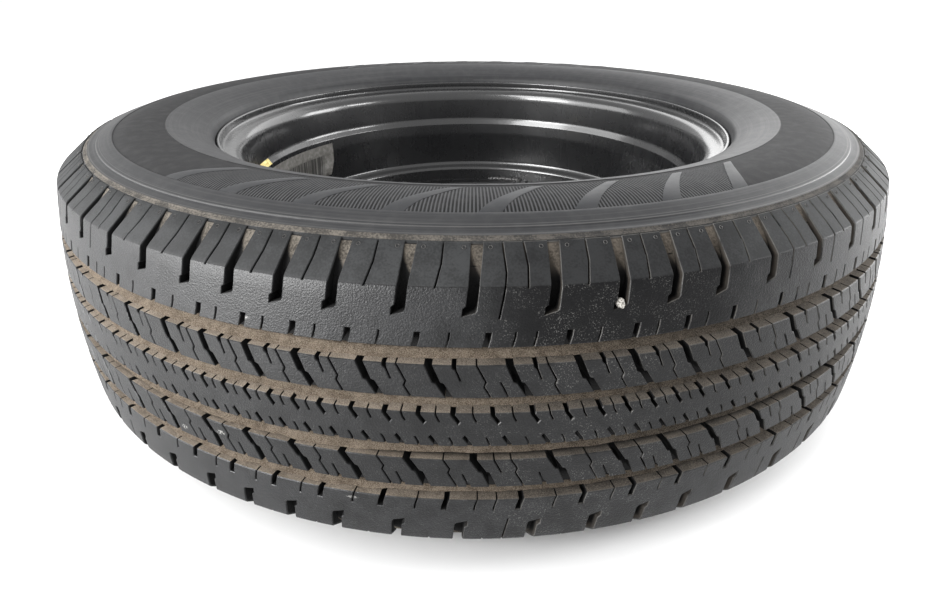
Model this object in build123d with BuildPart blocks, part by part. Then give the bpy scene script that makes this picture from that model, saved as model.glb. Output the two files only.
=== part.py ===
"""Spare wheel of a road car: a steel wheel and its tyre, lying flat with the deep inboard side up.

The origin is the wheel's centre, where the axle line crosses the tyre's mid-plane. +Z is the axle line and
points to the inboard side. Sections are drawn in the XZ plane as (radius, height) and turned about Z.
"""

import os
from itertools import accumulate
from math import cos, hypot, radians, sin, sqrt, tan

from build123d import *

os.makedirs("parts", exist_ok=True)

# Tyre
tyre_diameter = 708.0
section_width = 204.0
crown_radius = 540.0
tread_half_width = 76.0
buttress_drop = 23.0
buttress_half_width = 91.5
sidewall_flat_drop = 49.0
sidewall_flat_breadth = 26.0
rim_line_rise = 5.2
rim_line_half_width = 88.0
groove_depth = 8.0
groove_draft = 1.2
inner_groove_offset = 14.3
inner_groove_width = 8.8
outer_groove_offset = 41.2
outer_groove_width = 9.2
shoulder_slot_width = 5.8
shoulder_slot_foot = 62.0
shoulder_slot_runout = 1.5
rib_slot_width = 4.0
rib_slot_depth = 7.0
rib_slot_slant = 10.3
rib_slot_overrun = 1.5
pitch_order = "LMMSSSMMLMSSMLLL" * 4 + "M"
pitch_shares = {"S": 0.836, "M": 1.0, "L": 1.154}
first_pitch_angle = -133.0
upper_shoulder_lead = 0.55
lower_shoulder_lead = -1.02
upper_rib_lead = -2.27
lower_rib_lead = 1.27
tread_thickness = 15.0
sidewall_thickness = 8.0
bead_width = 18.0
bead_clearance = 0.1

# Rim: rolled steel band with a well between two bead seats
bead_seat_diameter = 436.6
flange_height = 17.5
flange_lip_reach = 11.65
rim_half_width = 69.85
rim_thickness = 2.8
bead_seat_taper = 5.0
inboard_seat_end = 35.5
ledge_diameter = 420.6
ledge_top = 28.3
ledge_bottom = -24.0
well_diameter = 401.6
well_top = -28.8
well_bottom = -46.0
outboard_seat_end = -52.5

# Disc: pressed steel centre
disc_thickness = 4.0
disc_fit_clearance = 0.05
skirt_top = -42.0
skirt_bottom = -51.0
crown_ring_diameter = 232.0
crown_ring_height = -64.0
hub_seat_diameter = 168.0
wheel_offset = 45.0
hub_bore_diameter = 67.1
stud_circle_diameter = 114.3
stud_count = 5
stud_hole_diameter = 14.0
stud_seat_diameter = 16.0
stud_seat_angle = 60.0
scallop_count = 4
scallop_radius = 70.0
scallop_centre_radius = 240.0
scallop_angle = 55.1

# Welds between the disc's skirt and the well
weld_count = 8
weld_angle = 71.1
weld_arc = 13.0
weld_leg = 3.6

# Snap-in valve, on the slope between the well and the outboard seat
valve_angle = 325.1
valve_hole_diameter = 11.3
valve_grip_clearance = 0.15
valve_head_diameter = 15.2
valve_head_length = 6.6
valve_collar_diameter = 13.0
valve_sleeve_diameter = 11.4
valve_sleeve_length = 15.0
stem_diameter = 6.4
stem_thread_diameter = 7.7
stem_length = 25.0
stem_bore_diameter = 3.0
core_diameter = 4.5
core_pocket_start = 9.0
core_start = 13.2
core_end = 22.0
core_bore_diameter = 1.7
pin_diameter = 1.5
pin_clearance = 0.1
pin_cup_diameter = 3.0
pin_cup_thickness = 1.4
seal_thickness = 0.5
seal_gap = 0.05
pin_recess = 0.6
cap_diameter = 10.0
cap_skirt_gap = 0.4
cap_thread_clearance = 0.1
cap_end_thickness = 1.8
gasket_thickness = 0.9
gasket_diameter = 7.2
gasket_gap = 0.1

# Label and paint mark on the rim's inner wall
label_thickness = 0.2
label_angle = 144.0
label_arc = 34.0
label_top = 26.0
label_height = 38.0
mark_angle = 175.5
mark_arc = 6.5
mark_thickness = 0.2
mark_step_start = 0.1
mark_step_end = 0.9
glue_gap = 0.1


def crown(height):
    """Radius of the tread's round crown at a height above the mid-plane."""
    return tyre_diameter / 2 - crown_radius + sqrt(crown_radius**2 - height**2)


def groove(offset_from_centre, width):
    """Corners of one tread groove, from the wall nearer the mid-plane to the farther one."""
    near = offset_from_centre - width / 2
    far = offset_from_centre + width / 2
    floor = crown(offset_from_centre) - groove_depth
    return [(crown(near), near), (floor, near + groove_draft), (floor, far - groove_draft), (crown(far), far)]


# Rim contour on the tyre's side, from the inboard lip to the outboard lip
seat_radius = bead_seat_diameter / 2
flange_radius = seat_radius + flange_height
lip_half_width = rim_half_width + flange_lip_reach
ledge_radius = ledge_diameter / 2
well_radius = well_diameter / 2
seat_slope = tan(radians(bead_seat_taper))
inboard_seat_foot = seat_radius - (rim_half_width - inboard_seat_end) * seat_slope
outboard_seat_foot = seat_radius - (rim_half_width + outboard_seat_end) * seat_slope
rim_contour = [
    (flange_radius, lip_half_width),
    (flange_radius, rim_half_width),
    (seat_radius, rim_half_width),
    (inboard_seat_foot, inboard_seat_end),
    (ledge_radius, ledge_top),
    (ledge_radius, ledge_bottom),
    (well_radius, well_top),
    (well_radius, well_bottom),
    (outboard_seat_foot, outboard_seat_end),
    (seat_radius, -rim_half_width),
    (flange_radius, -rim_half_width),
    (flange_radius, -lip_half_width),
]

# Tyre: one moulding, its beads held between the rim's flanges and its inside open to the rim's well
tread_outline = [(crown(0), 0)]
tread_outline += groove(inner_groove_offset, inner_groove_width)
tread_outline += groove(outer_groove_offset, outer_groove_width)
tread_outline += [(crown(tread_half_width), tread_half_width)]
bead_face = rim_half_width - bead_clearance
bead_base = seat_radius + bead_clearance
toe_height = bead_face - bead_width
toe_radius = bead_base - bead_width * seat_slope
tyre_radius = tyre_diameter / 2
lining_radius = tyre_radius - tread_thickness
buttress_radius = tyre_radius - buttress_drop
sidewall_flat_outer = tyre_radius - sidewall_flat_drop
sidewall_flat_inner = sidewall_flat_outer - sidewall_flat_breadth
sidewall_outline = [
    (crown(tread_half_width), tread_half_width),
    (buttress_radius, buttress_half_width),
    (sidewall_flat_outer, section_width / 2),
    (sidewall_flat_inner, section_width / 2),
    (flange_radius + rim_line_rise, rim_line_half_width),
    (flange_radius + bead_clearance, bead_face),
    (bead_base, bead_face),
    (toe_radius, toe_height),
    (sidewall_flat_outer, section_width / 2 - sidewall_thickness),
    (buttress_radius - sidewall_thickness, tread_half_width),
    (lining_radius, 0),
]

# Slots that cut the tread: open ones in the shoulders, and slanted ones across the rib between two grooves
shoulder_floor = crown(shoulder_slot_foot) - groove_depth
with BuildPart() as shoulder_slot:
    with BuildSketch(Plane.XZ):
        with BuildLine():
            Polyline(
                (shoulder_floor, shoulder_slot_foot),
                (shoulder_floor, tread_half_width),
                (buttress_radius + shoulder_slot_runout, buttress_half_width),
                (tyre_radius, buttress_half_width + groove_depth),
                (tyre_radius + groove_depth, shoulder_slot_foot),
                close=True,
            )
        make_face()
    extrude(amount=shoulder_slot_width / 2, both=True)

rib_slot_outer = outer_groove_offset - outer_groove_width / 2 + rib_slot_overrun
rib_slot_inner = inner_groove_offset + inner_groove_width / 2 - rib_slot_overrun
rib_slot_floor = crown(rib_slot_outer) - rib_slot_depth
with BuildPart() as rib_slot:
    with BuildSketch(Plane.YZ.offset(rib_slot_floor)):
        with BuildLine():
            Polyline(
                (-rib_slot_slant / 2 - rib_slot_width / 2, rib_slot_outer),
                (-rib_slot_slant / 2 + rib_slot_width / 2, rib_slot_outer),
                (rib_slot_slant / 2 + rib_slot_width / 2, rib_slot_inner),
                (rib_slot_slant / 2 - rib_slot_width / 2, rib_slot_inner),
                close=True,
            )
        make_face()
    extrude(amount=2 * rib_slot_depth)

# The slots follow pitches of three lengths; the tread's lower half is its upper half turned about each pitch
pitch_arcs = [pitch_shares[kind] for kind in pitch_order]
degrees_per_share = 360 / sum(pitch_arcs)
pitch_ends = [first_pitch_angle + degrees_per_share * share for share in accumulate(pitch_arcs)]
pitch_starts = [first_pitch_angle] + pitch_ends[:-1]


def turned(angles, lead):
    """Places round the axle, ahead of the given angles."""
    return [Rotation(0, 0, angle + lead) for angle in angles]


with BuildPart() as tyre:
    with BuildSketch(Plane.XZ):
        with BuildLine():
            Polyline(*tread_outline)
            Polyline(*sidewall_outline)
            mirror(about=Plane.XZ)
        make_face()
    revolve(axis=Axis.Z)
    for slot, upper_lead, lower_lead in (
        (shoulder_slot.part, upper_shoulder_lead, lower_shoulder_lead),
        (rib_slot.part, upper_rib_lead, lower_rib_lead),
    ):
        with Locations(*turned(pitch_starts, upper_lead)):
            add(slot, mode=Mode.SUBTRACT)
        with Locations(*turned(pitch_ends, lower_lead)):
            add(slot.rotate(Axis.X, 180), mode=Mode.SUBTRACT)
tyre.part.label = "tyre"
export_step(tyre.part, "parts/tyre.step")

# The valve stands square on the slope between the well and the outboard seat
slope_run = outboard_seat_foot - well_radius
slope_drop = well_bottom - outboard_seat_end
slope_length = hypot(slope_run, slope_drop)
valve_lean = slope_drop / slope_length
valve_reach = slope_run / slope_length
valve_seat_radius = (well_radius + outboard_seat_foot) / 2 - rim_thickness * valve_lean
valve_seat_height = (well_bottom + outboard_seat_end) / 2 - rim_thickness * valve_reach
valve_around = (cos(radians(valve_angle)), sin(radians(valve_angle)))
valve_seat = Vector(valve_seat_radius * valve_around[0], valve_seat_radius * valve_around[1], valve_seat_height)
valve_direction = Vector(-valve_lean * valve_around[0], -valve_lean * valve_around[1], -valve_reach)
valve_side = Vector(-valve_around[1], valve_around[0], 0)
valve_axis = Axis(valve_seat, valve_direction)
valve_section = Plane(origin=valve_seat, x_dir=valve_side, z_dir=valve_side.cross(valve_direction))
valve_base = Plane(origin=valve_seat, x_dir=valve_side, z_dir=valve_direction)

# Rim: a band of one thickness, rolled to the contour, with a hole for the valve
with BuildPart() as rim:
    with BuildSketch(Plane.XZ):
        with BuildLine():
            outer_face = Polyline(*rim_contour)
            offset(outer_face, amount=rim_thickness, side=Side.RIGHT, kind=Kind.INTERSECTION)
        make_face()
    revolve(axis=Axis.Z)
    with BuildSketch(valve_base):
        Circle(valve_hole_diameter / 2)
    extrude(amount=2 * rim_thickness, both=True, mode=Mode.SUBTRACT)
rim.part.label = "rim"
export_step(rim.part, "parts/rim.step")

# Disc: a pressed sheet, its skirt inside the well and its scalloped edge open for air and the valve
well_inner_radius = well_radius - rim_thickness
skirt_radius = well_inner_radius - disc_fit_clearance
hub_outer_height = -wheel_offset - disc_thickness
disc_contour = [
    (skirt_radius, skirt_top),
    (skirt_radius, skirt_bottom),
    (crown_ring_diameter / 2, crown_ring_height),
    (hub_seat_diameter / 2, hub_outer_height),
    (hub_bore_diameter / 2, hub_outer_height),
]
with BuildPart() as disc:
    with BuildSketch(Plane.XZ):
        with BuildLine():
            outboard_face = Polyline(*disc_contour)
            offset(outboard_face, amount=disc_thickness, side=Side.RIGHT, kind=Kind.INTERSECTION)
        make_face()
    revolve(axis=Axis.Z)
    with BuildSketch(Plane.XY):
        with PolarLocations(scallop_centre_radius, scallop_count, start_angle=scallop_angle):
            Circle(scallop_radius)
    extrude(amount=-lip_half_width, mode=Mode.SUBTRACT)
    with Locations(Plane(origin=(0, 0, hub_outer_height), z_dir=(0, 0, -1))):
        with PolarLocations(stud_circle_diameter / 2, stud_count):
            CounterSinkHole(
                stud_hole_diameter / 2, stud_seat_diameter / 2, counter_sink_angle=stud_seat_angle
            )
disc.part.label = "disc"
export_step(disc.part, "parts/disc.step")

# Welds: short fillet runs on the skirt's upper edge, against the well
with BuildPart() as disc_welds:
    with BuildSketch(Plane.XZ):
        with BuildLine():
            weld_foot = (well_inner_radius - glue_gap, skirt_top + glue_gap)
            weld_toe = (weld_foot[0] - weld_leg, weld_foot[1])
            weld_head = (weld_foot[0], weld_foot[1] + weld_leg)
            Polyline(weld_foot, weld_toe, weld_head, close=True)
        make_face()
    weld_run = revolve(axis=Axis.Z, revolution_arc=weld_arc, mode=Mode.PRIVATE)
    with PolarLocations(0, weld_count, start_angle=weld_angle):
        add(weld_run)
disc_welds.part.label = "disc_welds"
export_step(disc_welds.part, "parts/disc_welds.step")

# Valve body: rubber, snapped into the hole, its head inside the tyre and its sleeve outside
neck_radius = valve_hole_diameter / 2 - valve_grip_clearance
head_face = -rim_thickness - valve_grip_clearance
collar_face = valve_grip_clearance
head_end = head_face - valve_head_length
stem_radius = stem_diameter / 2
with BuildPart() as valve_body:
    with BuildSketch(valve_section):
        with BuildLine():
            Polyline(
                (stem_radius, head_end),
                (valve_head_diameter / 2, head_end),
                (valve_head_diameter / 2, head_face),
                (neck_radius, head_face),
                (neck_radius, collar_face),
                (valve_collar_diameter / 2, collar_face),
                (valve_sleeve_diameter / 2, valve_sleeve_length),
                (stem_radius, valve_sleeve_length),
                close=True,
            )
        make_face()
    revolve(axis=valve_axis)
valve_body.part.label = "valve_body"
export_step(valve_body.part, "parts/valve_body.step")

# Valve stem: brass tube bonded into the rubber, threaded outside for the cap and bored for the core
thread_radius = stem_thread_diameter / 2
with BuildPart() as valve_stem:
    with BuildSketch(valve_section):
        with BuildLine():
            Polyline(
                (stem_bore_diameter / 2, head_end),
                (stem_radius, head_end),
                (stem_radius, valve_sleeve_length),
                (thread_radius, valve_sleeve_length),
                (thread_radius, stem_length),
                (core_diameter / 2, stem_length),
                (core_diameter / 2, core_pocket_start),
                (stem_bore_diameter / 2, core_pocket_start),
                close=True,
            )
        make_face()
    revolve(axis=valve_axis)
valve_stem.part.label = "valve_stem"
export_step(valve_stem.part, "parts/valve_stem.step")

# Valve core: brass barrel screwed into the stem's mouth
with BuildPart() as valve_core:
    with BuildSketch(valve_section):
        with BuildLine():
            Polyline(
                (core_bore_diameter / 2, core_start),
                (core_diameter / 2, core_start),
                (core_diameter / 2, core_end),
                (core_bore_diameter / 2, core_end),
                close=True,
            )
        make_face()
    revolve(axis=valve_axis)
valve_core.part.label = "valve_core"
export_step(valve_core.part, "parts/valve_core.step")

# Core pin: slides in the barrel, its cup pressing a rubber ring against the barrel's inner end
seal_face = core_start - pin_clearance
cup_face = seal_face - seal_thickness - seal_gap
pin_tip = stem_length - pin_recess
with BuildPart() as core_pin:
    with BuildSketch(valve_section):
        with BuildLine():
            Polyline(
                (0, cup_face - pin_cup_thickness),
                (pin_cup_diameter / 2, cup_face - pin_cup_thickness),
                (pin_cup_diameter / 2, cup_face),
                (pin_diameter / 2, cup_face),
                (pin_diameter / 2, pin_tip),
                (0, pin_tip),
                close=True,
            )
        make_face()
    revolve(axis=valve_axis)
core_pin.part.label = "core_pin"
export_step(core_pin.part, "parts/core_pin.step")

with BuildPart() as core_seal:
    with BuildSketch(valve_base.offset(seal_face)):
        Circle(pin_cup_diameter / 2)
        Circle(pin_diameter / 2 + seal_gap, mode=Mode.SUBTRACT)
    extrude(amount=-seal_thickness)
core_seal.part.label = "core_seal"
export_step(core_seal.part, "parts/core_seal.step")

# Valve cap: plastic, screwed over the stem's thread, with a gasket in its closed end
gasket_start = stem_length + gasket_gap
gasket_end = gasket_start + gasket_thickness
cap_bore_radius = thread_radius + cap_thread_clearance
with BuildPart() as valve_cap:
    with BuildSketch(valve_section):
        with BuildLine():
            Polyline(
                (cap_bore_radius, valve_sleeve_length + cap_skirt_gap),
                (cap_diameter / 2, valve_sleeve_length + cap_skirt_gap),
                (cap_diameter / 2, gasket_end + gasket_gap + cap_end_thickness),
                (0, gasket_end + gasket_gap + cap_end_thickness),
                (0, gasket_end + gasket_gap),
                (cap_bore_radius, gasket_end + gasket_gap),
                close=True,
            )
        make_face()
    revolve(axis=valve_axis)
valve_cap.part.label = "valve_cap"
export_step(valve_cap.part, "parts/valve_cap.step")

with BuildPart() as cap_gasket:
    with BuildSketch(valve_base.offset(gasket_start)):
        Circle(gasket_diameter / 2)
    extrude(amount=gasket_thickness)
cap_gasket.part.label = "cap_gasket"
export_step(cap_gasket.part, "parts/cap_gasket.step")

# Label: a sheet stuck to the ledge of the rim's inner wall
ledge_inner_radius = ledge_radius - rim_thickness
with BuildPart() as barcode_label:
    with BuildSketch(Plane.XZ.rotated((0, 0, label_angle))):
        with Locations((ledge_inner_radius - glue_gap, label_top)):
            Rectangle(label_thickness, label_height, align=(Align.MAX, Align.MAX))
    revolve(axis=Axis.Z, revolution_arc=label_arc)
barcode_label.part.label = "barcode_label"
export_step(barcode_label.part, "parts/barcode_label.step")

# Paint mark: a thin dab on the step between the inboard seat and the ledge
step_run = inboard_seat_foot - ledge_radius
step_rise = inboard_seat_end - ledge_top
step_length = hypot(step_run, step_rise)
step_inward = (-step_rise / step_length, step_run / step_length)


def above_step(share, height):
    """A point over the step's inner face, by its share of the way up and its height off the steel."""
    lift = rim_thickness + height
    radius = ledge_radius + share * step_run + lift * step_inward[0]
    return (radius, ledge_top + share * step_rise + lift * step_inward[1])


with BuildPart() as yellow_mark:
    with BuildSketch(Plane.XZ.rotated((0, 0, mark_angle))):
        with BuildLine():
            Polyline(
                above_step(mark_step_start, glue_gap),
                above_step(mark_step_end, glue_gap),
                above_step(mark_step_end, glue_gap + mark_thickness),
                above_step(mark_step_start, glue_gap + mark_thickness),
                close=True,
            )
        make_face()
    revolve(axis=Axis.Z, revolution_arc=mark_arc)
yellow_mark.part.label = "yellow_mark"
export_step(yellow_mark.part, "parts/yellow_mark.step")
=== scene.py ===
"""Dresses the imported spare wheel: a used road tyre on a gloss black steel rim, lying inboard side up."""

import math

import bmesh
import bpy
from mathutils import Matrix, Vector, noise


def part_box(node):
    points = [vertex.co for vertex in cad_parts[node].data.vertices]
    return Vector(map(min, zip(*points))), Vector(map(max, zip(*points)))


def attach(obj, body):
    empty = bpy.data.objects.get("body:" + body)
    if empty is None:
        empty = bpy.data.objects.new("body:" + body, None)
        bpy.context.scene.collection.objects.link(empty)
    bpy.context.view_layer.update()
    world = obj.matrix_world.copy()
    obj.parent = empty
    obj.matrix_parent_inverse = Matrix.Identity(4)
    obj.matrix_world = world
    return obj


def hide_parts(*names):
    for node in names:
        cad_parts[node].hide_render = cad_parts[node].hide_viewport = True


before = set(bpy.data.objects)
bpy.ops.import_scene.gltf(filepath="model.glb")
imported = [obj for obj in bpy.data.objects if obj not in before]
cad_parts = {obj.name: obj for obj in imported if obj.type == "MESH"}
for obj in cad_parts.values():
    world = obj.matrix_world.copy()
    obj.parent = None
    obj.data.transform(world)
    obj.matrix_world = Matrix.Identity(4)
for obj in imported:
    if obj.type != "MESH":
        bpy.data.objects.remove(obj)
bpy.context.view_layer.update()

# Tyre: one rubber moulding. Five ribs stand on a turned carcass. The shoulder ribs are cut by open slots,
# the next two are cut into blocks, and the centre one is notched along both edges. Pitches of three lengths
# follow each other in a set order. Meshes are drawn in millimetres, the tread flat first and then bent round.
metres = 0.001
tyre_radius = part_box("tyre")[1].x / metres
tyre_half_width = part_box("tyre")[1].z / metres
crown_radius = 540.0
shoulder_edge = 76.0
shoulder_fall = 0.97
shoulder_softness = 0.5
block_top = 91.7
groove_depth = 8.0
wall_depth = 8.6
edge_round = 0.35
wall_draft = 1.2
shoulder_foot = 45.8
rib_outer = 36.6
rib_inner = 18.7
centre_half = 9.9
pitch_order = "LMMSSSMMLMSSMLLL" * 4 + "M"
pitch_share = {"S": 0.836, "M": 1.0, "L": 1.154}
first_pitch = -43.0
half_turn_shift = 1.0
shoulder_lag = 0.33
shoulder_half_turn_shift = 0.47
sipe_width = 0.135
arc_per_degree = math.radians(tyre_radius)


def tread_radius(height):
    """Radius of the tread's outer surface: a round crown that falls away past the shoulder's edge."""
    crown = tyre_radius - crown_radius + math.sqrt(crown_radius**2 - height**2)
    past_edge = (abs(height) - shoulder_edge) / shoulder_softness
    return crown - shoulder_fall * shoulder_softness * math.log1p(math.exp(past_edge))


def tread_point(height, depth):
    """Radius and height of a point that lies at a depth under the tread's outer surface, square to it."""
    step = 0.05 + 0.9 * max(0.0, depth)
    slope = (tread_radius(height + step) - tread_radius(height - step)) / (2 * step)
    length = math.hypot(1, slope)
    return tread_radius(height) - depth / length, height + depth * slope / length


def cut(line, width, end_width=None):
    """Corners of a slit along a line that starts at an edge: down its right side and back up its left."""
    end_width = width if end_width is None else end_width
    shares = [i / (len(line) - 1) for i in range(len(line))]
    widths = [width + (end_width - width) * s for s in shares]
    right = [(x + w / 2, z) for (x, z), w in zip(line, widths)]
    left = [(x - w / 2, z) for (x, z), w in zip(line, widths)]
    return right + left[::-1]


def centre_edge(pitch):
    """Upper edge of the centre rib over one pitch, right to left: wide notches with thin slits between."""
    edge = []
    for share in (1.0, 0.75, 0.5, 0.25):
        place = share * pitch - 1.2
        if share in (0.25, 0.75):
            edge += cut([(place, centre_half), (place + 0.1, 7.4), (place + 0.32, 4.6)], sipe_width)
        else:
            mouth = 0.27 if share == 1.0 else 0.2
            edge += [(place + mouth, centre_half), (place + 0.2, 8.6), (place + 0.62, 4.7)]
            edge += [(place + 0.42, 3.3), (place - 0.16, 8.6), (place - 0.2, centre_half)]
    return edge


def block_slot(start):
    """Middle line of the slot between two blocks, from the outer edge down, with a jog halfway."""
    return [
        (start, rib_outer),
        (start + 0.62, 27.0),
        (start + 0.9, 26.4),
        (start + 1.55, 19.8),
        (start + 1.66, rib_inner),
    ]


def block_outlines(kind, pitch):
    """Outlines of the two blocks of one pitch of the second rib, parted by a zigzag slit."""
    slot_half = 0.32
    start = -3.1
    zigzag_start = start + (3.8 if kind == "L" else 3.0)
    zigzag = [
        (zigzag_start, rib_outer),
        (zigzag_start + 0.75, 27.3),
        (zigzag_start + 0.6, 24.8),
        (zigzag_start + 1.15, rib_inner),
    ]
    notch = start + 2.0
    notch_line = [(notch + 0.2, 33.6), (notch + 0.55, 28.0)]
    first = [(x + slot_half, z) for x, z in block_slot(start)]
    first += [(x - sipe_width / 2, z) for x, z in zigzag[::-1]]
    first += [(notch + 0.22, rib_outer), (notch + 0.24, 34.8)]
    first += cut(notch_line, sipe_width)
    first += [(notch - 0.1, 34.8), (notch - 0.16, rib_outer)]
    second = [(x + sipe_width / 2, z) for x, z in zigzag]
    if kind == "L":
        slit = start + 5.7
        second += [(2 * slit - x, 2 * 23.4 - z) for x, z in cut(
            [(slit - 0.65, 2 * 23.4 - rib_inner), (slit - 0.3, 23.4), (slit, 19.5)], sipe_width)]
    second += [(x + pitch - slot_half, z) for x, z in block_slot(start)[::-1]]
    return [first, second]


slot_right = [(0.98, block_top), (0.84, 86.0), (0.63, 77.9), (0.45, 67.3), (0.38, 64.4), (0.26, 63.4)]
slot_left = [(-0.78, 61.5), (-0.72, 65.4), (-0.46, 66.6), (-0.23, 77.9), (-0.12, 86.0), (-0.08, block_top)]


def shoulder_outline(kind, pitch):
    """Outline of one pitch of the shoulder rib: joined to its neighbours below the two open slots."""
    seam = -0.25
    slot_floor = [(seam, 62.5)]
    outline = slot_right + slot_floor + [(seam, shoulder_foot)]
    notches = [(1.15, 0.48)]
    notches += [(s * pitch, 0.13) for s in ((0.51, 0.77) if kind == "L" else (0.66,))]
    for place, width in notches:
        line = [(place + 0.17, 53.5), (place + 0.1, 50.5), (place - 0.12, shoulder_foot)]
        sides = cut(line, width)
        outline += sides[len(line):] + sides[: len(line)]
    outline += [(seam + pitch, shoulder_foot), (seam + pitch, 62.5)]
    outline += [(x + pitch, z) for x, z in slot_left]
    slits = [[(0.577, block_top), (0.56, 84.0), (0.485, 75.4)]]
    if kind == "L":
        slits = [[(0.67, block_top), (0.705, 83.0), (0.68, 75.0)]]
        slits += [[(0.398, block_top), (0.428, 81.0), (0.38, 70.0), (0.33, 60.2)]]
    for slit in slits:
        outline += cut([(s * pitch, z) for s, z in slit], sipe_width)
    return [(x + shoulder_lag, z) for x, z in outline]


def flat_face(outline, start, end, turned_by=None):
    """Adds one face of the flat tread; for the lower half it is given a half-turn within its cell."""
    corners = []
    for x, z in outline:
        place = (start + x, z) if turned_by is None else (end - turned_by - x, -z)
        corner = tread.verts.new((place[0] * arc_per_degree, place[1], 0))
        corners.append(corner)
    tread.faces.new(corners)


degrees_per_share = 360 / sum(pitch_share[kind] for kind in pitch_order)
pitch_starts = []
turned_so_far = first_pitch
for kind in pitch_order:
    pitch_starts.append(turned_so_far)
    turned_so_far += pitch_share[kind] * degrees_per_share

tread = bmesh.new()
spare_pitches = 3
for number in range(-spare_pitches, len(pitch_order) + spare_pitches):
    turns, index = divmod(number, len(pitch_order))
    kind = pitch_order[index]
    pitch = pitch_share[kind] * degrees_per_share
    start = pitch_starts[index] + 360 * turns
    upper = centre_edge(pitch)
    seam = -half_turn_shift / 2
    lower = [(pitch - half_turn_shift - x, -z) for x, z in upper]
    centre = [(seam, centre_half), (seam, -centre_half)] + lower
    centre += [(seam + pitch, -centre_half), (seam + pitch, centre_half)] + upper
    flat_face(centre, start, start + pitch)
    flat_face(shoulder_outline(kind, pitch), start, start + pitch)
    flat_face(shoulder_outline(kind, pitch), start, start + pitch, shoulder_half_turn_shift)
    for outline in block_outlines(kind, pitch):
        flat_face(outline, start, start + pitch)
        flat_face(outline, start, start + pitch, half_turn_shift)
bmesh.ops.remove_doubles(tread, verts=tread.verts[:], dist=0.01)
bmesh.ops.recalc_face_normals(tread, faces=tread.faces[:])
for face in tread.faces:
    if face.normal.z < 0:
        face.normal_flip()
bmesh.ops.inset_region(
    tread, faces=tread.faces[:], thickness=edge_round, use_even_offset=True, use_boundary=True
)


def slice_tread(place, way, **clearing):
    """Cuts all faces of the flat tread along a plane."""
    everything = tread.verts[:] + tread.edges[:] + tread.faces[:]
    bmesh.ops.bisect_plane(tread, geom=everything, plane_co=place, plane_no=way, **clearing)


tread_start = pitch_starts[0] * arc_per_degree
tread_length = 360 * arc_per_degree
for place, keeps_right in ((tread_start, True), (tread_start + tread_length, False)):
    slice_tread((place, 0, 0), (1, 0, 0), clear_inner=keeps_right, clear_outer=not keeps_right)
tread_facets = 150
for number in range(1, tread_facets):
    slice_tread((tread_start + tread_length * number / tread_facets, 0, 0), (1, 0, 0))
bend_heights = (54.5, 68.0, 74.9, shoulder_edge, 77.1, 84.0)
for height in bend_heights:
    for side in (height, -height):
        slice_tread((0, side, 0), (0, 1, 0))
depth_layer = tread.verts.layers.float.new("depth")
tread.verts.layers.float.new("across")
ends = (tread_start, tread_start + tread_length)
rims = []
for edge in tread.edges:
    at_end = any(all(abs(v.co.x - place) < 0.001 for v in edge.verts) for place in ends)
    if edge.is_boundary and not at_end:
        rims.append(edge)
for corner in {v for edge in rims for v in edge.verts}:
    corner[depth_layer] = edge_round
walls = bmesh.ops.extrude_edge_only(tread, edges=rims)["geom"]
for corner in walls:
    if isinstance(corner, bmesh.types.BMVert):
        corner[depth_layer] = wall_depth
        for foot, way in ((centre_half, 1), (rib_inner, -1), (rib_outer, 1), (shoulder_foot, -1)):
            if abs(abs(corner.co.y) - foot) < 0.02:
                corner.co.y += math.copysign(wall_draft * way, corner.co.y)
                break
for corner in tread.verts:
    angle = corner.co.x / tyre_radius
    radius, height = tread_point(corner.co.y, corner[depth_layer])
    corner.co = (radius * math.sin(angle), -radius * math.cos(angle), height)
bmesh.ops.remove_doubles(tread, verts=tread.verts[:], dist=0.02)

# The carcass under the ribs: groove floors, shoulder ramps, sidewalls, beads and lining, turned as one ring.
# The layer "depth" holds the depth under the tread's surface, and a mark below nought off the tread.
side_mark = -1.0
bar_mark = -2.0
vent_mark = -3.0
tread_half_height = 91.0
tread_inner_radius = 325.0
slot_ramp = [(66.0, 8.0), (73.0, 8.0), (76.5, 7.0), (79.0, 4.9), (84.0, 2.7), (90.8, 1.2)]
floor_line = [tread_point(z, groove_depth) for z in (0, 12, 24, 36, 48, 60)]
floor_line += [tread_point(z, depth) for z, depth in slot_ramp]
sidewall_line = [
    (329.6, 91.6), (327.6, 92.2), (327.0, 93.2), (326.3, 93.5), (325.6, 93.4), (323.2, 94.0), (321.2, 94.7),
    (320.8, 95.3), (320.2, 95.5), (316.0, 97.1), (312.0, 98.4), (310.2, 98.9), (309.6, 98.75), (309.2, 98.45),
    (306.0, 99.5), (302.0, 100.5), (297.0, 101.3), (291.0, 101.6), (283.0, 101.6), (276.0, 101.3),
    (272.6, 100.9), (272.0, 101.25), (271.2, 101.15), (266.0, 99.9), (260.0, 98.0), (254.0, 95.5),
    (248.0, 92.5), (243.5, 89.9), (241.2, 88.6), (239.6, 87.2), (238.4, 84.8), (236.6, 80.0), (236.0, 70.4),
    (235.0, 69.75), (218.6, 69.75), (217.0, 52.0), (222.0, 52.0), (305.0, 93.0), (323.0, 76.0), (334.0, 40.0),
]
half_line = floor_line + sidewall_line
section = half_line + [(339.0, 0.0)] + [(r, -z) for r, z in half_line[:0:-1]]
carcass_facets = 192
carcass = bmesh.new()
front = math.radians(-90)
ring = [carcass.verts.new((r * math.cos(front), r * math.sin(front), z)) for r, z in section]
loop = [carcass.edges.new((ring[i - 1], ring[i])) for i in range(len(ring))]
bmesh.ops.spin(
    carcass, geom=ring + loop, cent=(0, 0, 0), axis=(0, 0, 1), dvec=(0, 0, 0), angle=math.radians(360),
    steps=carcass_facets, use_merge=True,
)
bmesh.ops.remove_doubles(carcass, verts=carcass.verts[:], dist=0.001)
bmesh.ops.recalc_face_normals(carcass, faces=carcass.faces[:])
carcass_depth = carcass.verts.layers.float.new("depth")
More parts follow.
